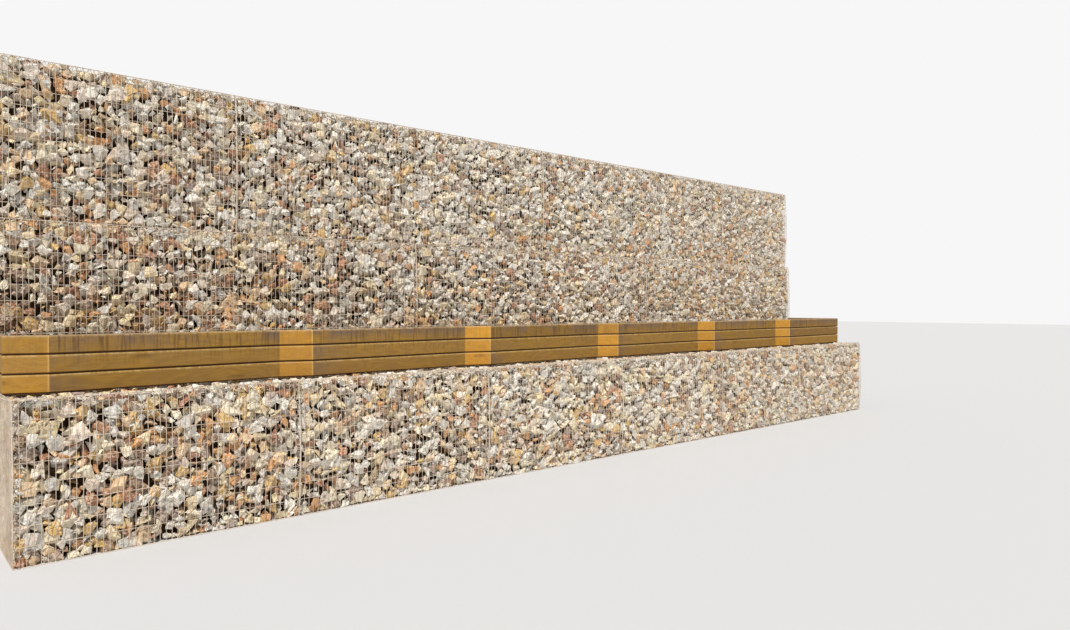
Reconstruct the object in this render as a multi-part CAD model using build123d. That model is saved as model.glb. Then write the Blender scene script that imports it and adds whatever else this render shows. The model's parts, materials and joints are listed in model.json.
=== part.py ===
from build123d import *
import os

# A three-course gabion retaining wall, six bays long, with a row of low timber
# planters on its step. X runs along the wall, Y into the bank, Z up. The origin is
# the middle of the wall's footprint, at ground level. All lengths are in mm.

# The run of the wall
bay_count = 6
bay_length = 1500.0

# The baskets
basket_depth = 1000.0
lower_height = 850.0
middle_height = 1000.0
top_height = 1000.0
top_setback = 50.0
belly = 25.0

# The wire cages: every wire drawn here has the border wire's section
border_wire = 5.0
upright_pitch = 300.0
front_cross_pitch = 300.0
rear_cross_pitch = 500.0

# The timber planters, which step forward once in each bay
board_rows = 3
board_height = 102.0
board_gap = 3.0
board_thickness = 40.0
board_chamfer = 8.0
board_lap = 12.0
planter_from_edge = 220.0
tooth_length = 200.0
tooth_depth = 70.0
post_width = 70.0
post_below_rim = 12.0

# Worked out from the sizes above
wall_length = bay_count * bay_length
left_end = -wall_length / 2
right_end = wall_length / 2
whole_depth = belly + 2 * basket_depth + top_setback
front_face = belly - whole_depth / 2
step_back = front_face + basket_depth
top_front = step_back + top_setback
middle_foot = lower_height
top_foot = middle_foot + middle_height
planter_height = board_rows * board_height + (board_rows - 1) * board_gap


def front_at(z, height, bulge):
    """Where a basket's front lies at one height: it swells out between its two cross wires."""
    return -bulge * min(1, 3 * z / height, 3 * (height - z) / height)


def basket_profile(height, bulge, inset=0.0):
    """A basket seen from its end, from Y 0 and Z 0.

    The inset draws in every side but the foot, which a fill and its cage share.
    """
    levels = [0, height / 3, 2 * height / 3, height - inset]
    front = [(inset + front_at(z, height, bulge), z) for z in levels]
    back = [(basket_depth - inset, height - inset), (basket_depth - inset, 0)]
    return Plane.YZ * make_face(Polyline(*front, *back, close=True))


def basket_block(length, height, bulge, inset=0.0):
    block = extrude(basket_profile(height, bulge, inset), amount=length - 2 * inset)
    return Pos(inset, 0, 0) * block


def gaps(start, end, pitch):
    """The openings between wires about one pitch apart, as pairs of start and end."""
    count = max(1, round((end - start) / pitch))
    step = (end - start + border_wire) / count
    return [(start + i * step, start + (i + 1) * step - border_wire) for i in range(count)]


def opening(x, y, z):
    """A box from three pairs of low and high values."""
    size = [high - low for low, high in (x, y, z)]
    return Pos(x[0], y[0], z[0]) * Box(*size, align=(Align.MIN, Align.MIN, Align.MIN))


def basket_cage(length, height, bulge, meshed):
    """The wire cage of one basket: border wires all round, and mesh on the named faces."""
    wire = border_wire
    head = height - wire
    rear = basket_depth - wire
    bare = 2 * max(length, height, basket_depth)

    def pitch(face, value):
        return value if face in meshed else bare

    holes = []
    for face, y, cross_pitch in (
        ("front", (-bulge - wire, wire), front_cross_pitch),
        ("back", (rear, rear + 2 * wire), rear_cross_pitch),
    ):
        for x in gaps(wire, length - wire, pitch(face, upright_pitch)):
            for z in gaps(wire, head, pitch(face, cross_pitch)):
                holes.append(opening(x, y, z))
    for x in gaps(wire, length - wire, pitch("lid", upright_pitch)):
        for y in gaps(wire + front_at(head, height, bulge), rear, pitch("lid", rear_cross_pitch)):
            holes.append(opening(x, y, (head, head + 2 * wire)))
    end_opening = extrude(basket_profile(height, bulge, wire), amount=2 * wire)
    for face, start in (("left", -wire), ("right", length - wire)):
        side = Pos(start, 0, 0) * end_opening
        for y in gaps(-bulge, rear, pitch(face, rear_cross_pitch)):
            for z in gaps(wire, head, pitch(face, rear_cross_pitch)):
                holes.append(side & opening((start, start + 2 * wire), y, z))
    shell = basket_block(length, height, bulge) - basket_block(length, height, bulge, wire)
    return shell - holes


def course(name, lengths, front, foot, height, bulge, meshed):
    """One row of baskets, from the left end on: a stone fill and a wire cage for each."""
    pieces = {}
    start = left_end
    for number, length in enumerate(lengths, 1):
        shown = set(meshed)
        if number == 1:
            shown.add("left")
        if number == len(lengths):
            shown.add("right")
        place = Pos(start, front, foot)
        pieces[f"{name}_fill_{number}"] = place * basket_block(length, height, bulge, border_wire)
        pieces[f"{name}_cage_{number}"] = place * basket_cage(length, height, bulge, shown)
        start += length
    return pieces


def basket_lengths(first):
    """A first basket, then baskets two bays long, and what is left for the last one."""
    lengths = [min(first, wall_length)]
    while sum(lengths) < wall_length - 1:
        lengths.append(min(2 * bay_length, wall_length - sum(lengths)))
    return lengths


class Line:
    """A straight line in plan."""

    def __init__(self, point, way):
        self.point = point
        self.way = way

    def at_x(self, x):
        return self.point + self.way * ((x - self.point.X) / self.way.X)

    def meets(self, other):
        turn = self.way.X * other.way.Y - self.way.Y * other.way.X
        between = other.point - self.point
        reach = (between.X * other.way.Y - between.Y * other.way.X) / turn
        return self.point + self.way * reach


class Bay:
    """The plan of one planter front: a short face that steps forward, and a long one back.

    The valley is the hollow corner that it shares with its neighbour, and the corner is
    the one that stands out. Boards lie behind these faces, and meet in mitres.
    """

    def __init__(self, number):
        self.start = left_end + number * bay_length
        self.end = self.start + bay_length
        self.is_first = number == 0
        self.is_last = number == bay_count - 1
        corner_y = front_face + planter_from_edge
        self.valley = Vector(self.start, corner_y + tooth_depth)
        self.corner = Vector(self.start + tooth_length, corner_y)
        self.next_valley = Vector(self.end, corner_y + tooth_depth)

        short_way = (self.corner - self.valley).normalized()
        long_way = (self.next_valley - self.corner).normalized()
        short_in = Vector(-short_way.Y, short_way.X)
        long_in = Vector(-long_way.Y, long_way.X)
        mitre = (short_in + long_in).normalized()
        self.short_back = Line(self.valley + short_in * board_thickness, short_way)
        self.long_back = Line(self.corner + long_in * board_thickness, long_way)
        self.corner_back = self.short_back.meets(self.long_back)
        self.valley_back = self.short_back.meets(Line(self.valley, mitre))
        self.next_valley_back = self.long_back.meets(Line(self.next_valley, mitre))
        if self.is_first:
            self.valley_back = self.short_back.at_x(left_end)
        if self.is_last:
            self.next_valley_back = self.long_back.at_x(right_end)


def behind(plan, setback):
    """What lies further back than the setback, in the plan of a board."""
    front_start, front_end, back_end, back_start = plan
    share = setback / board_thickness
    start = front_start + (back_start - front_start) * share
    end = front_end + (back_end - front_end) * share
    return make_face(Polyline(start, end, back_end, back_start, close=True))


def board_stack(plan):
    """Boards of one plan outline, one above another, with their long edges eased.

    A lip behind the top edge of each board stands in a rebate of the next one, so that
    neither light nor soil gets through the joint. The plan starts with its front edge.
    """
    plank = extrude(behind(plan, 0), amount=board_height)
    longest = max(edge.length for edge in plank.edges())
    long_edges = plank.edges().filter_by(lambda edge: edge.length > 0.8 * longest)
    plank = chamfer(long_edges, board_chamfer)
    half = board_thickness / 2
    lip_face = behind(plan, half + board_gap)
    lip = Pos(0, 0, board_height - board_chamfer) * extrude(lip_face, amount=board_chamfer + board_lap)
    rebate = extrude(behind(plan, half), amount=board_lap)
    boards = []
    for row in range(board_rows):
        board = plank
        if row > 0:
            board = board - rebate
        if row < board_rows - 1:
            board = board + lip
        boards.append(Pos(0, 0, lower_height + row * (board_height + board_gap)) * board)
    return boards


def planter_boards(bay):
    short_plan = [bay.valley, bay.corner, bay.corner_back, bay.valley_back]
    long_plan = [bay.corner, bay.next_valley, bay.next_valley_back, bay.corner_back]
    return Compound(children=board_stack(short_plan) + board_stack(long_plan))


def post(front):
    """A post cut to the boards before it, with a straight back."""
    back = max(point.Y for point in front) + post_width
    plan = front + [Vector(front[-1].X, back), Vector(front[0].X, back)]
    face = make_face(Polyline(*plan, close=True))
    return Pos(0, 0, lower_height) * extrude(face, amount=planter_height - post_below_rim)


def planter_posts(bay):
    """A post in the corner of the bay, and one behind the joint with its neighbour."""
    half = post_width / 2
    corner_x = bay.corner_back.X
    posts = [
        post([bay.short_back.at_x(corner_x - half), bay.corner_back, bay.long_back.at_x(corner_x + half)])
    ]
    if bay.is_first:
        edge = left_end + board_thickness
        posts.append(post([bay.short_back.at_x(edge), bay.short_back.at_x(edge + post_width)]))
    else:
        joint = bay.valley_back
        before = Line(bay.long_back.point - Vector(bay_length, 0), bay.long_back.way)
        posts.append(post([before.at_x(joint.X - half), joint, bay.short_back.at_x(joint.X + half)]))
    if bay.is_last:
        edge = right_end - board_thickness
        posts.append(post([bay.long_back.at_x(edge - post_width), bay.long_back.at_x(edge)]))
    return Compound(children=posts)


def planter_ends(first_bay, last_bay):
    """The boards that close the two ends of the row, from the planter's front to the wall."""
    wall_face = step_back - belly
    boards = []
    for back, outside, inside in (
        (first_bay.short_back, left_end, left_end + board_thickness),
        (last_bay.long_back, right_end, right_end - board_thickness),
    ):
        boards += board_stack(
            [back.at_x(outside), Vector(outside, wall_face), Vector(inside, wall_face), back.at_x(inside)]
        )
    return Compound(children=boards)


def build():
    single = [bay_length] * bay_count
    bonded = basket_lengths(first=bay_length)
    double = basket_lengths(first=2 * bay_length)
    pieces = {}
    pieces |= course("lower_front", single, front_face, 0.0, lower_height, belly, ["front", "lid"])
    pieces |= course("lower_back", double, step_back, 0.0, lower_height, 0.0, ["back"])
    pieces |= course("middle", double, step_back, middle_foot, middle_height, belly, ["front", "back"])
    pieces |= course("top", bonded, top_front, top_foot, top_height, belly, ["front", "back", "lid"])
    bays = [Bay(number) for number in range(bay_count)]
    for number, bay in enumerate(bays, 1):
        pieces[f"planter_boards_{number}"] = planter_boards(bay)
        pieces[f"planter_posts_{number}"] = planter_posts(bay)
    pieces["planter_ends"] = planter_ends(bays[0], bays[-1])
    return pieces


os.makedirs("parts", exist_ok=True)
for node, shape in build().items():
    export_step(shape, f"parts/{node}.step")
    print(node, round(shape.volume / 1e6, 2), "litres")
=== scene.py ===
# %% [markdown]
# # A gabion wall
# A gabion is a wire basket filled with broken stone. This wall has three courses of
# them, with a row of low timber planters on the step above the first course. The
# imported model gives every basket, cage and board at its real size. Here they get their
# loose stones, the fine wires of their welded mesh, the spiral wires that lace them
# together, and the finish of every surface.

# %% The frame that everything is placed in
import json
import math
import random
from itertools import combinations

import bmesh
import bpy
from mathutils import Euler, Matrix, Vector

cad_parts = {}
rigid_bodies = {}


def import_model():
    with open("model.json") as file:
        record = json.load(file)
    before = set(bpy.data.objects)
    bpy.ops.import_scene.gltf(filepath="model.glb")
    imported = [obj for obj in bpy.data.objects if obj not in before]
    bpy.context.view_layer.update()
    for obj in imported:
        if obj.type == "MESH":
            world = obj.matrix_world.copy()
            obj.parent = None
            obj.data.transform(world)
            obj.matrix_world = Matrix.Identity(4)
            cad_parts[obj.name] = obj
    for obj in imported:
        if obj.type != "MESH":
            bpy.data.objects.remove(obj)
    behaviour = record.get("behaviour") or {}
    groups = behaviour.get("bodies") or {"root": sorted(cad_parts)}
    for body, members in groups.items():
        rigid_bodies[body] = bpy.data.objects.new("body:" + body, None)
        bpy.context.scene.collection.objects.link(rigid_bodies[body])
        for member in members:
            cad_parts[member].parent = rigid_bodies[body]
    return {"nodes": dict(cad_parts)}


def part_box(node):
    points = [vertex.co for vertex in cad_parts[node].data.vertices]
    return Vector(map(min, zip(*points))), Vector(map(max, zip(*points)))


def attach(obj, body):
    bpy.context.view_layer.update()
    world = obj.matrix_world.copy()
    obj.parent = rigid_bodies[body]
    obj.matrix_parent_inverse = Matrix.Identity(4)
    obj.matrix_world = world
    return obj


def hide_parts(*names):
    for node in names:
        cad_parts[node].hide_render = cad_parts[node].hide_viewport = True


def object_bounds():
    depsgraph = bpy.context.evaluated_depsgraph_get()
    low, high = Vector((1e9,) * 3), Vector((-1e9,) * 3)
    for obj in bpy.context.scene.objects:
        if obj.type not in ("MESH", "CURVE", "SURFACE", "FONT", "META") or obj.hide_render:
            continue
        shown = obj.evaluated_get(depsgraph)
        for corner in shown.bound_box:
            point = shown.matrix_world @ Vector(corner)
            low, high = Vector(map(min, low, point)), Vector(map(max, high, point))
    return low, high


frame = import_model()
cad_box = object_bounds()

nodes = frame["nodes"]
low_corner, high_corner = (Vector(corner) for corner in cad_box)
print("nodes:", len(nodes), "size:", [round(a, 3) for a in high_corner - low_corner])

# %% [markdown]
# ## Sizes
# The places come from the frame, so nothing here has to be fitted by eye. What the
# frame doesn't hold is the mesh and the stone. The mesh of this wall is taller than it is
# wide, 31 by 105 mm, of wire 3.6 mm thick. Its stones are broken rock, mostly 40 to 100 mm
# across.

# %% Sizes that the frame doesn't hold, in metres
UPRIGHT_PITCH = 0.031
CROSS_PITCH = 0.105
WIRE_RADIUS = 0.0018
BORDER_RADIUS = 0.0025
BINDER_RADIUS = 0.015
BINDER_PITCH = 0.042

BAY_COUNT = 6
BAY = (high_corner.x - low_corner.x) / BAY_COUNT
BELLY = 0.025

# %% [markdown]
# ## Building node trees
# Geometry Nodes and materials are both trees of nodes. A small helper adds a node, sets
# its options, and either links or fills each of its inputs. A tree then reads from top
# to bottom, like a recipe.

# %% A helper for node trees
class Graph:
    """Adds linked nodes to a tree."""

    def __init__(self, tree):
        self.tree = tree

    def add(self, kind, inputs=None, **options):
        node = self.tree.nodes.new(kind)
        for name, value in options.items():
            setattr(node, name, value)
        for name, value in (inputs or {}).items():
            if isinstance(value, bpy.types.NodeSocket):
                self.tree.links.new(value, node.inputs[name])
            else:
                node.inputs[name].default_value = value
        return node

    def math(self, operation, first, second=0.0, clamp=False):
        node = self.add("ShaderNodeMath", {0: first, 1: second}, operation=operation, use_clamp=clamp)
        return node.outputs[0]

    def vector(self, operation, first, second=(0, 0, 0)):
        node = self.add("ShaderNodeVectorMath", {0: first, 1: second}, operation=operation)
        return node.outputs[0]

    def scaled(self, vector, factor):
        node = self.add("ShaderNodeVectorMath", {0: vector, "Scale": factor}, operation="SCALE")
        return node.outputs[0]

    def split(self, vector):
        return self.add("ShaderNodeSeparateXYZ", {0: vector}).outputs

    def joined(self, x, y, z):
        return self.add("ShaderNodeCombineXYZ", {0: x, 1: y, 2: z}).outputs[0]

    def fit(self, value, low, high, to_low=0.0, to_high=1.0):
        inputs = {"Value": value, "From Min": low, "From Max": high, "To Min": to_low, "To Max": to_high}
        return self.add("ShaderNodeMapRange", inputs).outputs[0]


def geometry_tree(name, inputs):
    """An empty Geometry Nodes tree with named inputs. Gives its graph, inputs and output."""
    tree = bpy.data.node_groups.new(name, "GeometryNodeTree")
    tree.interface.new_socket("Geometry", in_out="OUTPUT", socket_type="NodeSocketGeometry")
    tree.interface.new_socket("Geometry", in_out="INPUT", socket_type="NodeSocketGeometry")
    for label, kind in inputs.items():
        tree.interface.new_socket(label, in_out="INPUT", socket_type=f"NodeSocket{kind}")
    graph = Graph(tree)
    source = graph.add("NodeGroupInput").outputs
    result = graph.add("NodeGroupOutput")
    return graph, source, result.inputs["Geometry"]


def dress_in(graph, geometry, material, result):
    """Ends a tree: sets the material, and hands the geometry out."""
    inputs = {"Geometry": geometry, "Material": material}
    graph.tree.links.new(graph.add("GeometryNodeSetMaterial", inputs).outputs[0], result)


def grow(name, tree, values, source=None):
    """Runs a Geometry Nodes tree, and gives its result as a plain mesh."""
    holder = bpy.data.objects.new(name, source or bpy.data.meshes.new(name))
    bpy.context.scene.collection.objects.link(holder)
    modifier = holder.modifiers.new("grow", "NODES")
    modifier.node_group = tree
    for item in tree.interface.items_tree:
        if item.in_out == "INPUT" and item.name in values:
            modifier[item.identifier] = values[item.name]
    grown = holder.evaluated_get(bpy.context.evaluated_depsgraph_get())
    mesh = bpy.data.meshes.new_from_object(grown)
    bpy.data.objects.remove(holder)
    return mesh


def merged(name, meshes):
    """Several meshes as one piece. They share one list of materials."""
    mesh = bpy.data.meshes.new(name)
    materials = []
    joined = bmesh.new()
    for part in meshes:
        for material in part.materials:
            if material not in materials:
                materials.append(material)
        first_new = len(joined.faces)
        joined.from_mesh(part)
        joined.faces.ensure_lookup_table()
        for face in joined.faces[first_new:]:
            face.material_index = materials.index(part.materials[face.material_index])
    joined.to_mesh(mesh)
    joined.free()
    for material in materials:
        mesh.materials.append(material)
    piece = bpy.data.objects.new(name, mesh)
    bpy.context.scene.collection.objects.link(piece)
    return piece


def triangles(piece):
    piece.data.calc_loop_triangles()
    return len(piece.data.loop_triangles)


# %% [markdown]
# ## Materials
# Each finish is a Principled BSDF whose colour, roughness and bump come from noise that
# reads Object coordinates, so that it stays put on the piece. Two effects are used by
# more than one finish, so they are node groups: a rough broken surface, and sawn grain.

# %% Node groups that several finishes share
def shader_group(name, inputs, outputs):
    tree = bpy.data.node_groups.new(name, "ShaderNodeTree")
    for label, (kind, value) in inputs.items():
        socket = tree.interface.new_socket(label, in_out="INPUT", socket_type=f"NodeSocket{kind}")
        if value is not None:
            socket.default_value = value
    for label, kind in outputs.items():
        tree.interface.new_socket(label, in_out="OUTPUT", socket_type=f"NodeSocket{kind}")
    graph = Graph(tree)
    return graph, graph.add("NodeGroupInput").outputs, graph.add("NodeGroupOutput").inputs


def noise(graph, vector, scale, detail=4.0, roughness=0.55):
    inputs = {"Vector": vector, "Scale": scale, "Detail": detail, "Roughness": roughness}
    return graph.add("ShaderNodeTexNoise", inputs).outputs[0]


def mix(graph, amount, first, second, blend="MIX"):
    inputs = {0: amount, 6: first, 7: second}
    return graph.add("ShaderNodeMix", inputs, data_type="RGBA", blend_type=blend).outputs[2]


def darkened(graph, colour, level):
    """A colour times a level."""
    return mix(graph, 1.0, colour, graph.joined(level, level, level), "MULTIPLY")


def ramp(graph, value, stops, interpolation="LINEAR"):
    node = graph.add("ShaderNodeValToRGB", {0: value})
    node.color_ramp.interpolation = interpolation
    elements = node.color_ramp.elements
    while len(elements) < len(stops):
        elements.new(1.0)
    for element, (place, colour) in zip(elements, stops):
        element.position = place
        element.color = (*colour, 1.0)
    return node.outputs[0]


graph, source, result = shader_group(
    "broken_surface",
    {"Vector": ("Vector", None), "Coarse": ("Float", 26.0), "Fine": ("Float", 85.0)},
    {"Height": "Float", "Patches": "Float", "Speckle": "Float"},
)
coarse = noise(graph, source["Vector"], source["Coarse"], 3.0, 0.6)
fine = noise(graph, source["Vector"], source["Fine"], 3.0, 0.6)
chips = graph.add("ShaderNodeTexVoronoi", {"Vector": source["Vector"], "Scale": source["Coarse"]})
height = graph.math("ADD", graph.math("MULTIPLY", coarse, 0.5), graph.math("MULTIPLY", fine, 0.25))
height = graph.math("ADD", height, graph.math("MULTIPLY", chips.outputs["Distance"], 0.25))
link = graph.tree.links.new
link(height, result["Height"])
link(graph.fit(coarse, 0.44, 0.64), result["Patches"])
link(graph.fit(fine, 0.50, 0.66), result["Speckle"])
BROKEN_SURFACE = graph.tree

graph, source, result = shader_group(
    "sawn_grain",
    {"Vector": ("Vector", None), "Seed": ("Float", 0.0)},
    {"Grain": "Float", "Knots": "Float", "Height": "Float"},
)
moved = graph.vector("ADD", source["Vector"], graph.scaled((13.1, 4.7, 8.3), source["Seed"]))
wavy = noise(graph, graph.vector("MULTIPLY", moved, (1.6, 6.0, 6.0)), 1.0, 2.0)
lines = noise(graph, graph.vector("MULTIPLY", moved, (3.0, 150.0, 150.0)), 1.0, 5.0, 0.7)
waves = graph.math("ADD", wavy, graph.math("MULTIPLY", lines, 0.12))
rings = graph.math("SINE", graph.math("MULTIPLY", waves, 70.0))
rings = graph.math("MULTIPLY", graph.fit(rings, -1.0, 1.0), 0.20)
grain = graph.math("ADD", rings, graph.math("MULTIPLY", lines, 0.80))
knot_cells = graph.add(
    "ShaderNodeTexVoronoi",
    {"Vector": graph.vector("MULTIPLY", moved, (2.2, 5.5, 9.0)), "Scale": 1.0, "Randomness": 1.0},
    feature="F1",
)
to_knot = knot_cells.outputs["Distance"]
link = graph.tree.links.new
link(grain, result["Grain"])
link(graph.fit(to_knot, 0.16, 0.08), result["Knots"])
link(graph.math("SUBTRACT", grain, graph.fit(to_knot, 0.12, 0.05)), result["Height"])
SAWN_GRAIN = graph.tree


def finish(name, metallic=0.0, specular=0.5):
    """A new material: its graph, its shader's inputs and its Object coordinates."""
    material = bpy.data.materials.new(name)
    material.use_nodes = True
    material.node_tree.nodes.clear()
    graph = Graph(material.node_tree)
    inputs = {"Metallic": metallic, "Specular IOR Level": specular}
    shader = graph.add("ShaderNodeBsdfPrincipled", inputs)
    graph.add("ShaderNodeOutputMaterial", {"Surface": shader.outputs[0]})
    place = graph.add("ShaderNodeTexCoord").outputs["Object"]
    return material, graph, shader.inputs, place


def bump(graph, shader, height, distance, strength=1.0):
    node = graph.add("ShaderNodeBump", {"Height": height, "Distance": distance, "Strength": strength})
    graph.tree.links.new(node.outputs[0], shader["Normal"])


# %% [markdown]
# ## Stone
# The stones are one quarry's rock, and yet no two match: most are cream or pinkish
# grey, some are ochre, and a few are rust red or dark brown. A picture of rock would
# repeat, so each stone carries two random numbers instead. One picks its colour from a
# list that runs from pale to dark, and the other makes it lighter or darker. Patches and
# specks inside the stone do the rest.

# %% The stones' finish, and the rubble behind them, painted dark as shade
STONE_COLOURS = [
    (0.00, (0.82, 0.81, 0.75)),
    (0.13, (0.84, 0.77, 0.59)),
    (0.27, (0.82, 0.72, 0.61)),
    (0.38, (0.64, 0.62, 0.58)),
    (0.46, (0.81, 0.68, 0.43)),
    (0.57, (0.79, 0.57, 0.35)),
    (0.66, (0.68, 0.45, 0.16)),
    (0.73, (0.41, 0.31, 0.26)),
    (0.79, (0.64, 0.31, 0.11)),
    (0.87, (0.43, 0.19, 0.10)),
    (0.94, (0.27, 0.17, 0.11)),
]

stone, graph, shader, place = finish("broken_stone", specular=0.3)
tone = graph.add("ShaderNodeAttribute", attribute_name="tone").outputs["Fac"]
shade = graph.add("ShaderNodeAttribute", attribute_name="shade").outputs["Fac"]
own_place = graph.vector("ADD", place, graph.scaled((31.0, 77.0, 53.0), shade))
surface = graph.add("ShaderNodeGroup", {}, node_tree=BROKEN_SURFACE)
graph.tree.links.new(own_place, surface.inputs["Vector"])
patches, speckle = surface.outputs["Patches"], surface.outputs["Speckle"]
colour = ramp(graph, tone, STONE_COLOURS, "CONSTANT")
colour = mix(graph, graph.math("MULTIPLY", patches, 0.45), colour, (0.46, 0.28, 0.13, 1))
colour = mix(graph, graph.math("MULTIPLY", speckle, 0.55), colour, (0.86, 0.83, 0.76, 1))
# Painted shade: the hollows of the broken surface are darkened towards a dark brown.
painted_crevice_shade = graph.fit(surface.outputs["Height"], 0.48, 0.36)
colour = mix(graph, graph.math("MULTIPLY", painted_crevice_shade, 0.75), colour, (0.12, 0.07, 0.035, 1))
level = graph.fit(shade, 0.0, 1.0, 0.78, 1.12)
graph.tree.links.new(darkened(graph, colour, level), shader["Base Color"])
graph.tree.links.new(graph.fit(speckle, 0.0, 1.0, 0.92, 0.7), shader["Roughness"])
bump(graph, shader, surface.outputs["Height"], 0.018)
STONE = stone

# Painted shade: the rubble behind the stones is coloured nearly black-brown, as the shade that fills the
# chinks between them.
RUBBLE_SHADE_COLOURS = [(0.0, (0.07, 0.042, 0.024)), (1.0, (0.17, 0.11, 0.065))]
core_shade_material, graph, shader, place = finish("shadowed_rubble", specular=0.1)
surface = graph.add("ShaderNodeGroup", {"Coarse": 9.0, "Fine": 40.0}, node_tree=BROKEN_SURFACE)
graph.tree.links.new(place, surface.inputs["Vector"])
colour = ramp(graph, surface.outputs["Patches"], RUBBLE_SHADE_COLOURS)
graph.tree.links.new(colour, shader["Base Color"])
graph.tree.links.new(graph.fit(surface.outputs["Speckle"], 0.0, 1.0, 1.0, 0.85), shader["Roughness"])
bump(graph, shader, surface.outputs["Height"], 0.02)
RUBBLE_PAINTED_AS_SHADE = core_shade_material

# %% [markdown]
# ## Wire
# The mesh is galvanised: a dull grey zinc skin with paler and darker blooms, and a
# little dirt. It is matt enough that it reads as a pale line against the stones.

# %% The galvanised wire's finish
wire, graph, shader, place = finish("galvanised_wire", metallic=0.25, specular=0.4)
bloom = noise(graph, place, 30.0, 4.0)
dirt = graph.fit(noise(graph, place, 5.0, 3.0), 0.42, 0.66)
colour = ramp(graph, bloom, [(0.3, (0.56, 0.48, 0.39)), (0.7, (0.80, 0.71, 0.60))])
colour = mix(graph, graph.math("MULTIPLY", dirt, 0.5), colour, (0.42, 0.30, 0.20, 1))
graph.tree.links.new(colour, shader["Base Color"])
graph.tree.links.new(graph.fit(bloom, 0.3, 0.7, 0.55, 0.38), shader["Roughness"])
bump(graph, shader, noise(graph, place, 400.0, 2.0), 0.0004)
WIRE = wire

# %% [markdown]
# ## Timber
# The planters are of stained softwood. Their short faces are sheltered and still golden,
# but in the first two bays they are painted duller, as painted shade from the plants
# above; the long ones have weathered to a dull honey brown. They are greyest below the
# rim and beside the corner that stands out. The joints between boards are painted dark
# as shade, and each board's top edge, the strip beside the corner and the rim get
# painted highlights. Dark streaks run down from the rim over the topmost board.
# Both kinds of board are in one node, so the finish tells them apart by how far along
# its bay a point lies, and gives every board its own grain by the bay and the row.

# %% The timber's finish
BOARD_LOW, BOARD_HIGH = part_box("planter_boards_2")
TOOTH_SHARE = 0.2 / BAY
BOARD_GAP = 0.003
BOARD_CHAMFER = 0.008
ROW_PITCH = (BOARD_HIGH.z - BOARD_LOW.z + BOARD_GAP) / 3
ARRIS = 0.012
# Of these colours, the joint colour is painted shade, and the edge, corner-strip and rim colours are
# painted highlights.
PAINTED_JOINT_SHADE = (0.065, 0.025, 0.009, 1)
GREYED_WOOD = (0.150, 0.102, 0.080, 1)
PAINTED_EDGE_HIGHLIGHT = (0.52, 0.37, 0.17, 1)
DARK_STREAK = (0.085, 0.045, 0.020, 1)
KNOT = (0.10, 0.045, 0.015, 1)
PAINTED_CORNER_HIGHLIGHT = (0.62, 0.40, 0.16, 1)
PAINTED_RIM_HIGHLIGHT = (0.30, 0.23, 0.16, 1)


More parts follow.
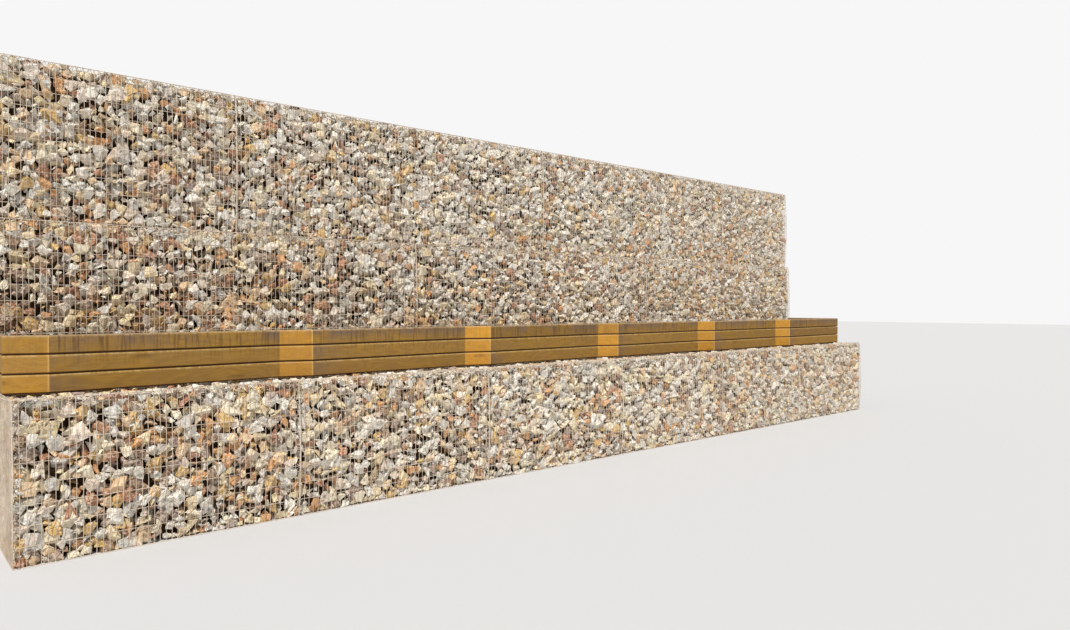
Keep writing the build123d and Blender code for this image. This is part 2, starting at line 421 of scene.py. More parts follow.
def timber(name, sheltered, weathered, turn=(0, 0, 0), greying=0.0):
    """Stained boards, with painted shade in their joints and painted highlights on their edges. The turn
    brings the grain's direction onto X.
    """
    material, graph, shader, place = finish(name, specular=0.22)
    x, _, z = graph.split(place)[:3]
    bays = graph.math("DIVIDE", graph.math("SUBTRACT", x, low_corner.x), BAY)
    share = graph.math("FRACT", bays)
    bay = graph.math("FLOOR", bays)
    is_short = graph.math("LESS_THAN", share, TOOTH_SHARE)
    rows = graph.math("DIVIDE", graph.math("SUBTRACT", z, BOARD_LOW.z), ROW_PITCH)
    row = graph.math("FLOOR", rows)
    up_board = graph.math("MULTIPLY", graph.math("FRACT", rows), ROW_PITCH)
    board = graph.math("ADD", graph.math("MULTIPLY", bay, 3.7), graph.math("MULTIPLY", row, 1.9))
    board = graph.math("ADD", board, graph.math("MULTIPLY", is_short, 7.3))
    turned = graph.add("ShaderNodeMapping", {"Vector": place, "Rotation": turn}).outputs[0]
    grain = graph.add("ShaderNodeGroup", {"Vector": turned, "Seed": board}, node_tree=SAWN_GRAIN)

    old = ramp(graph, grain.outputs["Grain"], weathered)
    new = ramp(graph, grain.outputs["Grain"], sheltered)
    # Painted shade: in the first two bays the golden short faces are mixed towards honey brown, most in
    # the first, for the shade of the plants above.
    painted_shade_first_bays = graph.fit(bays, 0.0, 2.0, 0.68, 0.0)
    colour = mix(graph, is_short, old, mix(graph, painted_shade_first_bays, new, old))
    own = graph.add("ShaderNodeTexWhiteNoise", {"W": board}, noise_dimensions="1D").outputs["Value"]
    level = graph.fit(own, 0.0, 1.0, 0.80, 1.10)
    colour = darkened(graph, colour, level)
    colour = mix(graph, graph.math("MULTIPLY", grain.outputs["Knots"], 0.35), colour, KNOT)

    streaks = noise(graph, graph.vector("MULTIPLY", place, (38.0, 5.0, 9.0)), 1.0, 4.0, 0.7)
    clouds = noise(graph, graph.vector("MULTIPLY", place, (5.0, 2.0, 9.0)), 1.0, 3.0)
    below_rim = graph.math("MULTIPLY", graph.fit(z, BOARD_HIGH.z - 0.105, BOARD_HIGH.z - 0.02), 0.95)
    by_corner = graph.math("MULTIPLY", graph.fit(share, TOOTH_SHARE + 0.22, TOOTH_SHARE), 0.75)
    exposed = graph.math("MAXIMUM", graph.math("MAXIMUM", below_rim, by_corner), 0.22)
    mottle = graph.fit(streaks, 0.30, 0.60, 0.45, 1.0)
    mottle = graph.math("MULTIPLY", mottle, graph.fit(clouds, 0.30, 0.56))
    grey = graph.math("MULTIPLY", graph.math("MULTIPLY", exposed, mottle), greying)
    grey = graph.math("MULTIPLY", grey, graph.fit(is_short, 0.0, 1.0, 1.0, 0.35))
    colour = mix(graph, grey, colour, GREYED_WOOD)
    # Dark streaks run down from the rim over the top boards, fainter on the short faces.
    rim_streaks = noise(graph, graph.vector("MULTIPLY", place, (60.0, 8.0, 4.0)), 1.0, 3.0, 0.6)
    near_rim = graph.fit(z, BOARD_HIGH.z - 0.19, BOARD_HIGH.z - 0.05)
    rim_streaks = graph.math("MULTIPLY", graph.fit(rim_streaks, 0.50, 0.62), near_rim)
    rim_streaks = graph.math("MULTIPLY", rim_streaks, graph.fit(is_short, 0.0, 1.0, 0.6, 0.15))
    colour = mix(graph, graph.math("MULTIPLY", rim_streaks, greying), colour, DARK_STREAK)

    board_top = ROW_PITCH - BOARD_GAP
    # Painted highlight: a paler band up to each board's top edge, where its arris catches the light,
    # broken up by streaky noise.
    top_edge_highlight = graph.fit(up_board, board_top - 2.2 * BOARD_CHAMFER, board_top - BOARD_CHAMFER)
    top_edge_highlight = graph.math("MULTIPLY", top_edge_highlight, graph.fit(streaks, 0.40, 0.62, 0.08, 0.50))
    colour = mix(graph, graph.math("MULTIPLY", top_edge_highlight, greying), colour, PAINTED_EDGE_HIGHLIGHT)
    # Painted shade: each board's lower chamfer and the top of the gap below it are darkened, as the
    # joint is in shade.
    below = graph.fit(up_board, BOARD_CHAMFER + 0.003, BOARD_CHAMFER - 0.003)
    above = graph.math("GREATER_THAN", up_board, board_top - 0.001)
    joint_shade = graph.math("MAXIMUM", below, above)
    colour = mix(graph, graph.math("MULTIPLY", joint_shade, 0.85), colour, PAINTED_JOINT_SHADE)
    # Painted highlight: a pale strip on the short boards just before the corner that stands out, kept
    # out of the joints.
    corner_highlight = graph.fit(share, TOOTH_SHARE - ARRIS / BAY, TOOTH_SHARE - 0.3 * ARRIS / BAY)
    corner_highlight = graph.math("MULTIPLY", corner_highlight, is_short)
    corner_highlight = graph.math("MULTIPLY", corner_highlight, graph.math("SUBTRACT", 1.0, joint_shade))
    colour = mix(graph, graph.math("MULTIPLY", corner_highlight, 0.45), colour, PAINTED_CORNER_HIGHLIGHT)
    # Painted highlight: a pale line along the top few millimetres of the rim board.
    rim_highlight = graph.fit(z, BOARD_HIGH.z - 0.007, BOARD_HIGH.z - 0.002)
    colour = mix(graph, graph.math("MULTIPLY", rim_highlight, 0.6), colour, PAINTED_RIM_HIGHLIGHT)
    roughness = graph.fit(grain.outputs["Grain"], 0.0, 1.0, 0.66, 0.88)
    graph.tree.links.new(colour, shader["Base Color"])
    graph.tree.links.new(roughness, shader["Roughness"])
    bump(graph, shader, grain.outputs["Height"], 0.0012)
    return material


GOLDEN = [(0.25, (0.46, 0.215, 0.020)), (0.5, (0.54, 0.262, 0.027)), (0.75, (0.60, 0.300, 0.038))]
HONEY = [(0.25, (0.235, 0.125, 0.022)), (0.5, (0.290, 0.160, 0.028)), (0.75, (0.340, 0.192, 0.038))]
RAW = [(0.2, (0.36, 0.24, 0.12)), (0.8, (0.55, 0.40, 0.23))]
ACROSS = (0.0, 0.0, math.pi / 2)
UPWARDS = (0.0, math.pi / 2, 0.0)
BOARDS = timber("planter_stain", GOLDEN, HONEY, greying=1.0)
END_BOARDS = timber("planter_end_stain", HONEY, HONEY, turn=ACROSS, greying=0.7)
POSTS = timber("planter_post_timber", RAW, RAW, turn=UPWARDS)

# %% [markdown]
# ## Broken stones
# A crusher leaves stones with a dozen flat faces and sharp edges. Such a solid is what
# is left when a lump is cut by random planes: its corners are the points where three
# planes meet and no other plane cuts them off. Their hull is the stone.

# %% The shapes of the stones
TOO_ALIKE = 0.80
PLANE_REACH = (0.60, 0.92)
LONGEST_CORNER = 1.45


def stone_shape(chance, plane_count):
    """A lump about one unit in radius, bounded by random planes."""
    planes = []
    while len(planes) < plane_count:
        way = Vector([chance.gauss(0, 1) for _ in range(3)]).normalized()
        if all(way.dot(other) < TOO_ALIKE for other, _ in planes):
            planes.append((way, chance.uniform(*PLANE_REACH)))
    corners = []
    for (a, da), (b, db), (c, dc) in combinations(planes, 3):
        volume = a.dot(b.cross(c))
        if abs(volume) < 0.05:
            continue
        point = (b.cross(c) * da + c.cross(a) * db + a.cross(b) * dc) / volume
        if point.length < LONGEST_CORNER and all(way.dot(point) < far + 1e-4 for way, far in planes):
            corners.append(point)
    shape = bmesh.new()
    for corner in corners:
        shape.verts.new(corner)
    bmesh.ops.remove_doubles(shape, verts=shape.verts, dist=0.06)
    hull = bmesh.ops.convex_hull(shape, input=shape.verts)
    left_over = set(hull["geom_interior"] + hull["geom_unused"])
    loose = [item for item in left_over if isinstance(item, bmesh.types.BMVert)]
    bmesh.ops.delete(shape, geom=loose, context="VERTS")
    bmesh.ops.recalc_face_normals(shape, faces=shape.faces)
    return shape


def stone_collection(name, count, plane_count, seed):
    chance = random.Random(seed)
    collection = bpy.data.collections.new(name)
    faces = 0
    for number in range(count):
        shape = stone_shape(chance, plane_count)
        mesh = bpy.data.meshes.new(f"{name}_{number}")
        shape.to_mesh(mesh)
        faces += len(shape.faces)
        shape.free()
        collection.objects.link(bpy.data.objects.new(mesh.name, mesh))
    print(name, "shapes:", count, "faces each:", faces // count)
    return collection


LARGE_SHAPES = stone_collection("large_stones", 18, 9, seed=3)
SMALL_SHAPES = stone_collection("small_stones", 10, 8, seed=8)

# %% [markdown]
# ## Filling the baskets
# Laying thousands of stones by hand is out of the question, and dropping them in a
# simulation takes long and packs loosely. Instead, points are spread over each face
# that shows, no two nearer than a set distance, and each gets a stone that is a little
# larger than its share, so that neighbours close up. Small stones go between them, and
# a deeper layer closes what is left. What would stick out through the mesh is pressed
# flat against it, as a mason turns a stone's flat side outwards, but a stone may lean a
# few millimetres over the seam that two baskets share. Loads of stone differ in
# colour, so a slow noise shifts the tones from one part of the wall to the next, and they
# are paler further along the wall and in its top course.

# %% The tree that faces a basket with stones
graph, source, result = geometry_tree(
    "stone_facing",
    {
        "Shapes": "Collection",
        "Shape Count": "Int",
        "Spacing": "Float",
        "Size": "Float",
        "Sink": "Float",
        "Low": "Vector",
        "High": "Vector",
        "Belly": "Float",
        "Unevenness": "Float",
        "Lid Unevenness": "Float",
        "Seed": "Int",
        "Material": "Material",
    },
)


def chance_value(low, high, seed, kind="FLOAT"):
    """A random number or vector for each point."""
    node = graph.add("FunctionNodeRandomValue", data_type=kind)
    picks = {"FLOAT": (2, 3, 1), "INT": (4, 5, 2), "FLOAT_VECTOR": (0, 1, 0)}[kind]
    for socket, value in ((node.inputs[picks[0]], low), (node.inputs[picks[1]], high)):
        if isinstance(value, bpy.types.NodeSocket):
            graph.tree.links.new(value, socket)
        else:
            socket.default_value = value
    graph.tree.links.new(graph.math("ADD", source["Seed"], seed), node.inputs["Seed"])
    return node.outputs[picks[2]]


density = graph.math("DIVIDE", 12.0, graph.math("MULTIPLY", source["Spacing"], source["Spacing"]))
spread = graph.add(
    "GeometryNodeDistributePointsOnFaces",
    {
        "Mesh": source["Geometry"],
        "Distance Min": source["Spacing"],
        "Density Max": density,
        "Seed": source["Seed"],
    },
    distribute_method="POISSON",
)
sink = graph.math("MULTIPLY", source["Sink"], chance_value(-1.22, -0.78, 11))
laid = graph.add(
    "GeometryNodeSetPosition",
    {"Geometry": spread.outputs["Points"], "Offset": graph.scaled(spread.outputs["Normal"], sink)},
)
shapes = graph.add(
    "GeometryNodeCollectionInfo",
    {"Collection": source["Shapes"], "Separate Children": True, "Reset Children": True},
)
size = graph.math("MULTIPLY", source["Size"], chance_value(0.68, 1.36, 23))
stretch = chance_value((0.85, 0.85, 0.8), (1.35, 1.15, 1.05), 31, "FLOAT_VECTOR")
stones = graph.add(
    "GeometryNodeInstanceOnPoints",
    {
        "Points": laid.outputs[0],
        "Instance": shapes.outputs[0],
        "Pick Instance": True,
        "Instance Index": chance_value(0, source["Shape Count"], 43, "INT"),
        "Rotation": chance_value((0.0, 0.0, 0.0), (6.28, 6.28, 6.28), 53, "FLOAT_VECTOR"),
        "Scale": graph.scaled(stretch, size),
    },
)
here = graph.add("GeometryNodeInputPosition").outputs[0]
load = graph.add("ShaderNodeTexNoise", {"Vector": here, "Scale": 2.2, "Detail": 1.5}).outputs[0]
paleness = graph.fit(load, 0.36, 0.62, 0.5, 1.45)
along_wall, _, up_wall = graph.split(here)[:3]
onwards = graph.fit(along_wall, low_corner.x + 0.8, low_corner.x + 2.8, 0.0, 0.85)
upwards = graph.fit(up_wall, 1.7, 2.4, 0.0, 0.9)
paleness = graph.math("ADD", graph.math("ADD", paleness, onwards), upwards)
marks = {
    "tone": graph.math("POWER", chance_value(0.0, 1.0, 61), paleness),
    "shade": chance_value(0.0, 1.0, 73),
    "depth": chance_value(0.0, 1.0, 79),
}
marked = stones.outputs[0]
for label, value in marks.items():
    marked = graph.add(
        "GeometryNodeStoreNamedAttribute",
        {"Geometry": marked, "Name": label, "Value": value},
        domain="INSTANCE",
        data_type="FLOAT",
    ).outputs[0]
loose = graph.add("GeometryNodeRealizeInstances", {"Geometry": marked}).outputs[0]

x, y, z = graph.split(graph.add("GeometryNodeInputPosition").outputs[0])[:3]
low_x, low_y, low_z = graph.split(source["Low"])[:3]
high_x, high_y, high_z = graph.split(source["High"])[:3]
up = graph.fit(z, low_z, high_z)
swell = graph.math("MULTIPLY", graph.math("MULTIPLY", up, graph.math("SUBTRACT", 1.0, up)), 4.0)
front = graph.math("SUBTRACT", low_y, graph.math("MULTIPLY", swell, source["Belly"]))
depth = graph.add("GeometryNodeInputNamedAttribute", {"Name": "depth"}, data_type="FLOAT").outputs[0]
back_off = graph.math("MULTIPLY", depth, source["Unevenness"])
top_off = graph.math("MULTIPLY", graph.math("MULTIPLY", depth, depth), source["Lid Unevenness"])


def between(value, low, high, high_off=back_off):
    """Keeps a value between two limits, each drawn in by the stone's own depth."""
    above = graph.math("MAXIMUM", value, graph.math("ADD", low, back_off))
    return graph.math("MINIMUM", above, graph.math("SUBTRACT", high, high_off))


inside_x, inside_y = between(x, low_x, high_x), between(y, front, high_y)
inside_z = between(z, low_z, high_z, top_off)
inside = graph.joined(inside_x, inside_y, inside_z)
pressed = graph.add("GeometryNodeSetPosition", {"Geometry": loose, "Position": inside}).outputs[0]
flat = graph.add("GeometryNodeSetShadeSmooth", {"Geometry": pressed, "Shade Smooth": False}).outputs[0]
dress_in(graph, flat, source["Material"], result)
STONE_FACING = graph.tree

# %% [markdown]
# ## Which faces show
# Each basket is a box, and only some of its faces can be seen: its front, its back, its
# lid, or an end. Of the middle course's lid only a narrow ledge shows, where the top
# course stands back. All of it is read off the basket's place in its course.

# %% The baskets and the faces of each that show
LEDGE = 0.10


class Basket:
    """One basket: its place, and the faces of it that show."""

    def __init__(self, course, number, count, open_faces, bellied=True):
        self.course = course
        self.number = number
        self.fill = f"{course}_fill_{number}"
        self.cage = f"{course}_cage_{number}"
        self.low, self.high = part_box(self.cage)
        self.belly = BELLY if bellied else 0.0
        self.low.y += self.belly
        self.faces = list(open_faces)
        if number == 1:
            self.faces.append("left")
        if number == count:
            self.faces.append("right")

    def corners(self, face):
        """A face's corners, anticlockwise from outside."""
        low, high = self.low, self.high
        x, y, z = (low.x, high.x), (low.y, high.y), (low.z, high.z)
        ledge = low.y + LEDGE
        return {
            "front": [(x[0], y[0], z[0]), (x[1], y[0], z[0]), (x[1], y[0], z[1]), (x[0], y[0], z[1])],
            "back": [(x[1], y[1], z[0]), (x[0], y[1], z[0]), (x[0], y[1], z[1]), (x[1], y[1], z[1])],
            "left": [(x[0], y[1], z[0]), (x[0], y[0], z[0]), (x[0], y[0], z[1]), (x[0], y[1], z[1])],
            "right": [(x[1], y[0], z[0]), (x[1], y[1], z[0]), (x[1], y[1], z[1]), (x[1], y[0], z[1])],
            "lid": [(x[0], y[0], z[1]), (x[1], y[0], z[1]), (x[1], y[1], z[1]), (x[0], y[1], z[1])],
            "ledge": [(x[0], y[0], z[1]), (x[1], y[0], z[1]), (x[1], ledge, z[1]), (x[0], ledge, z[1])],
        }[face]


def basket_course(course, open_faces, bellied=True):
    count = sum(name.startswith(f"{course}_cage") for name in nodes)
    return [Basket(course, number, count, open_faces, bellied) for number in range(1, count + 1)]


COURSES = {
    "lower_front": basket_course("lower_front", ["front", "lid"]),
    "lower_back": basket_course("lower_back", ["back"], bellied=False),
    "middle": basket_course("middle", ["front", "back", "ledge"]),
    "top": basket_course("top", ["front", "back", "lid"]),
}
BASKETS = [basket for course in COURSES.values() for basket in course]
print("baskets:", len(BASKETS))

# %% The stones of each basket
def open_skin(basket):
    """The faces that show, as one mesh for the stones to be spread over."""
    mesh = bpy.data.meshes.new(f"{basket.fill}_skin")
    points = []
    for face in basket.faces:
        points += basket.corners(face)
    quads = [range(4 * number, 4 * number + 4) for number in range(len(basket.faces))]
    mesh.from_pydata(points, [], [list(quad) for quad in quads])
    return mesh


CORE_INSETS = {
    "front": ((0, 0.09, 0), (0, 0, 0)),
    "back": ((0, 0, 0), (0, 0.07, 0)),
    "left": ((0.07, 0, 0), (0, 0, 0)),
    "right": ((0, 0, 0), (0.07, 0, 0)),
    "lid": ((0, 0, 0), (0, 0, 0.06)),
    "ledge": ((0, 0, 0), (0, 0, 0.03)),
}


def shade_painted_core(basket):
    """What is left of the fill behind the stones: a rough block that closes the chinks, painted dark as
    the shade in them.
    """
    core = bmesh.new()
    bmesh.ops.create_cube(core, size=1.0)
    low = Vector(basket.low)
    high = Vector(basket.high)
    for face in basket.faces:
        low_inset, high_inset = CORE_INSETS[face]
        low += Vector(low_inset)
        high -= Vector(high_inset)
    size = high - low
    bmesh.ops.scale(core, vec=size, verts=core.verts)
    bmesh.ops.translate(core, vec=(low + high) / 2, verts=core.verts)
    mesh = bpy.data.meshes.new(f"{basket.fill}_core")
    core.to_mesh(mesh)
    core.free()
    mesh.materials.append(RUBBLE_PAINTED_AS_SHADE)
    return mesh


LAYERS = (
    {"Shapes": LARGE_SHAPES, "Spacing": 0.050, "Size": 0.036, "Sink": 0.028},
    {"Shapes": SMALL_SHAPES, "Spacing": 0.043, "Size": 0.026, "Sink": 0.034},
    {"Shapes": SMALL_SHAPES, "Spacing": 0.084, "Size": 0.062, "Sink": 0.074},
)
LID_UNEVENNESS = {"lower_front": 0.05, "lower_back": 0.012, "middle": 0.02, "top": 0.03}
FACE_UNEVENNESS = 0.012
SEAM_LEAN = 0.006


def fill_basket(basket, seed):
    clear = 2 * BORDER_RADIUS
    left = clear if "left" in basket.faces else -SEAM_LEAN
    right = clear if "right" in basket.faces else -SEAM_LEAN
    shared = {
        "Low": basket.low + Vector((left, clear, 0)),
        "High": basket.high - Vector((right, clear, 0)),
        "Belly": basket.belly,
        "Unevenness": FACE_UNEVENNESS,
        "Lid Unevenness": LID_UNEVENNESS[basket.course],
        "Material": STONE,
    }
    layers = []
    for number, layer in enumerate(LAYERS):
        picks = {"Shape Count": len(layer["Shapes"].objects) - 1, "Seed": seed + 500 * number}
        values = shared | layer | picks
        layers.append(grow("stones", STONE_FACING, values, open_skin(basket)))
    piece = merged(basket.fill.replace("fill", "stones"), layers + [shade_painted_core(basket)])
    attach(piece, "root")
    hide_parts(basket.fill)
    return triangles(piece)


stone_triangles = [fill_basket(basket, 17 * number) for number, basket in enumerate(BASKETS)]
print("stone triangles:", sum(stone_triangles), "most in a basket:", max(stone_triangles))

# %% [markdown]
# ## Welded mesh
# The mesh is drawn as it is welded: upright wires outside, cross wires behind them, and
# a thicker wire round the border, each a thin tube along a curve. The curves follow the
# basket's belly, and wander a few millimetres, because stones push a wire out and nothing
# pulls it straight again. The lids sag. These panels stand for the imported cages, whose
# few thick wires are there to be measured.

# %% The tree that makes a panel of mesh
graph, source, result = geometry_tree(
    "mesh_panel",
    {
        "Width": "Float",
        "Height": "Float",
        "Upright Pitch": "Float",
        "Cross Pitch": "Float",
        "Radius": "Float",
        "Border Radius": "Float",
        "Border Inset": "Float",
        "Belly": "Float",
        "Wander": "Float",
        "Turn": "Rotation",
        "Place": "Vector",
        "Seed": "Float",
        "Material": "Material",
    },
)


def wires(length, first, step, count, along_x, depth, points_apart):
    """Parallel wires of one direction, as curves: how long, where, and how many."""
    offset = graph.joined(0.0, 0.0, step) if along_x else graph.joined(step, 0.0, 0.0)
    start = graph.joined(0.0, depth, first) if along_x else graph.joined(first, depth, 0.0)
    inputs = {"Count": count, "Start Location": start, "Offset": offset}
    row = graph.add("GeometryNodeMeshLine", inputs, mode="OFFSET").outputs[0]
    end = graph.joined(length, 0.0, 0.0) if along_x else graph.joined(0.0, 0.0, length)
    straight = graph.add("GeometryNodeCurvePrimitiveLine", {"End": end}).outputs[0]
    stretches = graph.math("ROUND", graph.math("DIVIDE", length, points_apart))
    inputs = {"Curve": straight, "Count": graph.math("ADD", stretches, 1.0)}
    divided = graph.add("GeometryNodeResampleCurve", inputs).outputs[0]
    return graph.add("GeometryNodeInstanceOnPoints", {"Points": row, "Instance": divided}).outputs[0]


def joined_curves(*curves):
    both = graph.add("GeometryNodeJoinGeometry")
    for curve in curves:
        graph.tree.links.new(curve, both.inputs[0])
    return graph.add("GeometryNodeRealizeInstances", {"Geometry": both.outputs[0]}).outputs[0]


def mesh_wires(length, run, pitch, along_x, depth, points_apart):
    """The wires between the borders, evenly spaced."""
    spaces = graph.math("ROUND", graph.math("DIVIDE", run, pitch))
    step = graph.math("DIVIDE", run, spaces)
    return wires(length, step, step, graph.math("SUBTRACT", spaces, 1.0), along_x, depth, points_apart)


def border_wires(length, run, along_x):
    """The two border wires of one direction."""
    inset = source["Border Inset"]
    between = graph.math("SUBTRACT", run, graph.math("MULTIPLY", inset, 2.0))
    return wires(length, inset, between, 2, along_x, inset, 0.11)


def swelling(height):
    """One halfway up the panel, and nought at its foot and head."""
    up = graph.math("DIVIDE", height, source["Height"])
    return graph.math("MULTIPLY", graph.math("MULTIPLY", up, graph.math("SUBTRACT", 1.0, up)), 4.0)


def bend(curves):
    """Pushes wires out over the belly, and lets them wander."""
    here = graph.add("GeometryNodeInputPosition").outputs[0]
    swell = swelling(graph.split(here)[2])
    push = graph.add(
        "ShaderNodeTexNoise",
        {"Vector": here, "W": source["Seed"], "Scale": 5.0, "Detail": 1.0},
        noise_dimensions="4D",
    ).outputs["Color"]
    strength = graph.math("MULTIPLY", source["Wander"], swell)
    drift = graph.split(graph.scaled(graph.vector("SUBTRACT", push, (0.5, 0.5, 0.5)), strength))
    inwards = graph.math("ABSOLUTE", drift[1])
    outwards = graph.math("MULTIPLY", swell, source["Belly"])
    inwards = graph.math("SUBTRACT", inwards, outwards)
    offset = graph.joined(drift[0], inwards, graph.math("MULTIPLY", drift[2], 0.5))
    return graph.add("GeometryNodeSetPosition", {"Geometry": curves, "Offset": offset}).outputs[0]


def tubes(curves, radius, sides):
    section = graph.add("GeometryNodeCurvePrimitiveCircle", {"Resolution": sides, "Radius": radius})
    inputs = {"Curve": curves, "Profile Curve": section.outputs[0], "Fill Caps": True}
    return graph.add("GeometryNodeCurveToMesh", inputs).outputs[0]


width, height, radius = source["Width"], source["Height"], source["Radius"]
behind = graph.math("MULTIPLY", radius, 3.0)
uprights = mesh_wires(height, width, source["Upright Pitch"], False, radius, 0.2)
crosses = mesh_wires(width, height, source["Cross Pitch"], True, behind, 0.25)
borders = joined_curves(border_wires(height, width, False), border_wires(width, height, True))
thin = tubes(bend(joined_curves(uprights, crosses)), radius, 4)
thick = tubes(bend(borders), source["Border Radius"], 6)
whole = graph.add("GeometryNodeJoinGeometry")
graph.tree.links.new(thin, whole.inputs[0])
graph.tree.links.new(thick, whole.inputs[0])
turned = graph.add(
    "GeometryNodeTransform",
    {"Geometry": whole.outputs[0], "Translation": source["Place"], "Rotation": source["Turn"]},
)
dress_in(graph, turned.outputs[0], source["Material"], result)
MESH_PANEL = graph.tree

# %% The mesh of each basket
QUARTER = math.pi / 2
LID_SAG = 0.02
WIRE_WANDER = 0.012
FACE_TURNS = {
    "front": (0, 0, 0),
    "back": (0, 0, 2 * QUARTER),
    "left": (0, 0, -QUARTER),
    "right": (0, 0, QUARTER),
    "lid": (-QUARTER, 0, 0),
    "ledge": (-QUARTER, 0, 0),
}


def mesh_basket(basket, seed):
    panels = []
    for number, face in enumerate(basket.faces):
        corners = [Vector(corner) for corner in basket.corners(face)]
        values = {
            "Width": (corners[1] - corners[0]).length,
            "Height": (corners[3] - corners[0]).length,
            "Upright Pitch": UPRIGHT_PITCH,
            "Cross Pitch": CROSS_PITCH,
            "Radius": WIRE_RADIUS,
            "Border Radius": BORDER_RADIUS,
            "Border Inset": BORDER_RADIUS * (1 + 0.15 * number),
            "Belly": {"front": basket.belly, "lid": -LID_SAG}.get(face, 0.0),
            "Wander": WIRE_WANDER,
            "Turn": Euler(FACE_TURNS[face]),
            "Place": corners[0],
            "Seed": float(seed + number),
            "Material": WIRE,
        }
        panels.append(grow("panel", MESH_PANEL, values))
    piece = merged(basket.cage.replace("cage", "mesh"), panels)
    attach(piece, "root")
    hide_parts(basket.cage)
    return triangles(piece)


wire_triangles = [mesh_basket(basket, 10 * number) for number, basket in enumerate(BASKETS)]
print("wire triangles:", sum(wire_triangles), "most in a basket:", max(wire_triangles))

# %% [markdown]
# ## Spiral binders
# Baskets are laced to their neighbours by spiral wires, screwed down the meeting edges.
# One spiral is made as a curve, and set on the first point of every seam of one length.

# %% The tree that makes the binders, and the seams that they close
graph, source, result = geometry_tree(
    "spiral_binders",
    {
        "Length": "Float",
        "Pitch": "Float",
        "Coil Radius": "Float",
        "Radius": "Float",
        "Turn": "Rotation",
        "Material": "Material",
    },
)
coil = graph.add(
    "GeometryNodeCurveSpiral",
    {
        "Resolution": 8,
        "Rotations": graph.math("DIVIDE", source["Length"], source["Pitch"]),
        "Start Radius": source["Coil Radius"],
        "End Radius": source["Coil Radius"],
        "Height": source["Length"],
    },
)
tube = tubes(coil.outputs[0], source["Radius"], 3)
placed = graph.add(
    "GeometryNodeInstanceOnPoints",
    {"Points": source["Geometry"], "Instance": tube, "Rotation": source["Turn"]},
)
real = graph.add("GeometryNodeRealizeInstances", {"Geometry": placed.outputs[0]})
dress_in(graph, real.outputs[0], source["Material"], result)
SPIRAL_BINDERS = graph.tree
ALONG_X = (0, QUARTER, 0)


def binders(starts, length, turn):
    """Spirals of one length and direction, from each of the given points."""
    points = bpy.data.meshes.new("seam_points")
    points.from_pydata([tuple(start) for start in starts], [], [])
    values = {
        "Length": length,
        "Pitch": BINDER_PITCH,
        "Coil Radius": BINDER_RADIUS,
        "Radius": WIRE_RADIUS,
        "Turn": Euler(turn),
        "Material": WIRE,
    }
    return grow("binders", SPIRAL_BINDERS, values, points)


def course_binders(course, front=True, back=True, rise=0.0):
    """The binders of one course: its upright seams, and its long edges."""
    baskets = COURSES[course]
    lowest, highest = baskets[0].low, baskets[-1].high
    seams = [basket.low.x for basket in baskets[1:]]
    seams += [lowest.x + BINDER_RADIUS, highest.x - BINDER_RADIUS]
    height = highest.z - lowest.z - 2 * BINDER_RADIUS
    sides = [lowest.y] * front + [highest.y - BINDER_RADIUS] * back
    uprights = [(x, y, lowest.z + BINDER_RADIUS) for x in seams for y in sides]
    edges = [(lowest.x, y, highest.z - BINDER_RADIUS + rise) for y in sides]
    parts = [binders(uprights, height, (0, 0, 0)), binders(edges, highest.x - lowest.x, ALONG_X)]
    piece = merged(f"{course}_binders", parts)
    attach(piece, "root")
    print(piece.name, triangles(piece), "triangles")


course_binders("lower_front", back=False, rise=0.010)
course_binders("lower_back", front=False)
course_binders("middle")
course_binders("top")
for collection in (LARGE_SHAPES, SMALL_SHAPES):
    for shape in list(collection.objects):
        bpy.data.objects.remove(shape)
    bpy.data.collections.remove(collection)

# %% [markdown]
# ## The pieces that stay as they are
# The boards and the posts have their true shape already. They keep it, and only get
# their finish.

# %% The finish of the boards and posts
def dress(name, material):
    for slot in nodes[name].material_slots:
        slot.material = material


for name in nodes:
    if name.startswith("planter_boards"):
        dress(name, BOARDS)
    elif name.startswith("planter_posts"):
        dress(name, POSTS)
dress("planter_ends", END_BOARDS)

# %% [markdown]
# ## Floor, light and camera
# The wall stands on a plain pale floor. A broad sky fills the shadows, and one soft high
# key from the left gives every stone a bright and a dark side.

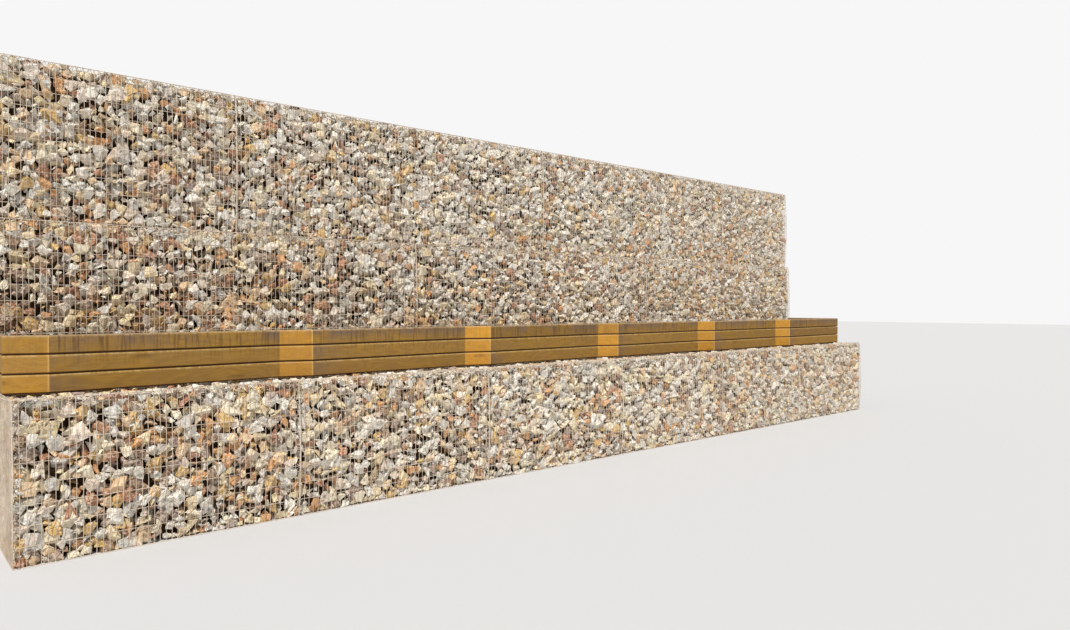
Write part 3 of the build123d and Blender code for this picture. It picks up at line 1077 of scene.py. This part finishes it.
# %% The stage
def floor_plane(size):
    mesh = bpy.data.meshes.new("floor")
    corners = [(-size, -size, 0), (size, -size, 0), (size, size, 0), (-size, size, 0)]
    mesh.from_pydata(corners, [], [(0, 1, 2, 3)])
    floor = bpy.data.objects.new("floor", mesh)
    bpy.context.scene.collection.objects.link(floor)
    material, _, shader, _ = finish("pale_floor", specular=0.2)
    shader["Base Color"].default_value = (0.57, 0.575, 0.59, 1)
    shader["Roughness"].default_value = 0.9
    mesh.materials.append(material)


def sky(light, backdrop):
    """An even sky. The camera and reflections see the backdrop's level."""
    world = bpy.data.worlds.new("studio")
    bpy.context.scene.world = world
    world.use_nodes = True
    world.node_tree.nodes.clear()
    graph = Graph(world.node_tree)
    rays = graph.add("ShaderNodeLightPath").outputs
    mirrored = graph.math("MAXIMUM", rays["Is Glossy Ray"], rays["Is Transmission Ray"])
    seen = graph.math("MAXIMUM", rays["Is Camera Ray"], mirrored)
    strength = graph.fit(seen, 0.0, 1.0, light, backdrop)
    background = graph.add("ShaderNodeBackground", {"Color": (1, 1, 1, 1), "Strength": strength})
    graph.add("ShaderNodeOutputWorld", {"Surface": background.outputs[0]})


def key_light(travel, strength, softness):
    lamp = bpy.data.lights.new("key", "SUN")
    lamp.energy = strength
    lamp.angle = math.radians(softness)
    lamp.color = (1.0, 0.97, 0.92)
    key = bpy.data.objects.new("key", lamp)
    key.rotation_euler = Vector(travel).to_track_quat("-Z", "Y").to_euler()
    bpy.context.scene.collection.objects.link(key)


floor_plane(60.0)
sky(light=0.45, backdrop=0.93)
key_light(travel=(0.42, 0.45, -0.79), strength=3.8, softness=2.5)

# %% The camera, at the photograph's viewpoint
FOCAL_PIXELS = 764.2
PICTURE_WIDTH = 1070
LOOKS_DOWN = 0.636
HEADING = 48.53
camera_data = bpy.data.cameras.new("camera")
camera_data.sensor_width = 36.0
camera_data.lens = FOCAL_PIXELS / PICTURE_WIDTH * camera_data.sensor_width
camera = bpy.data.objects.new("camera", camera_data)
camera.location = (-5.0586, -5.5765, 1.3151)
camera.rotation_euler = (math.radians(90.0 - LOOKS_DOWN), 0.0, math.radians(HEADING - 90.0))
bpy.context.scene.collection.objects.link(camera)
bpy.context.scene.camera = camera
bpy.context.scene.view_settings.view_transform = "Standard"
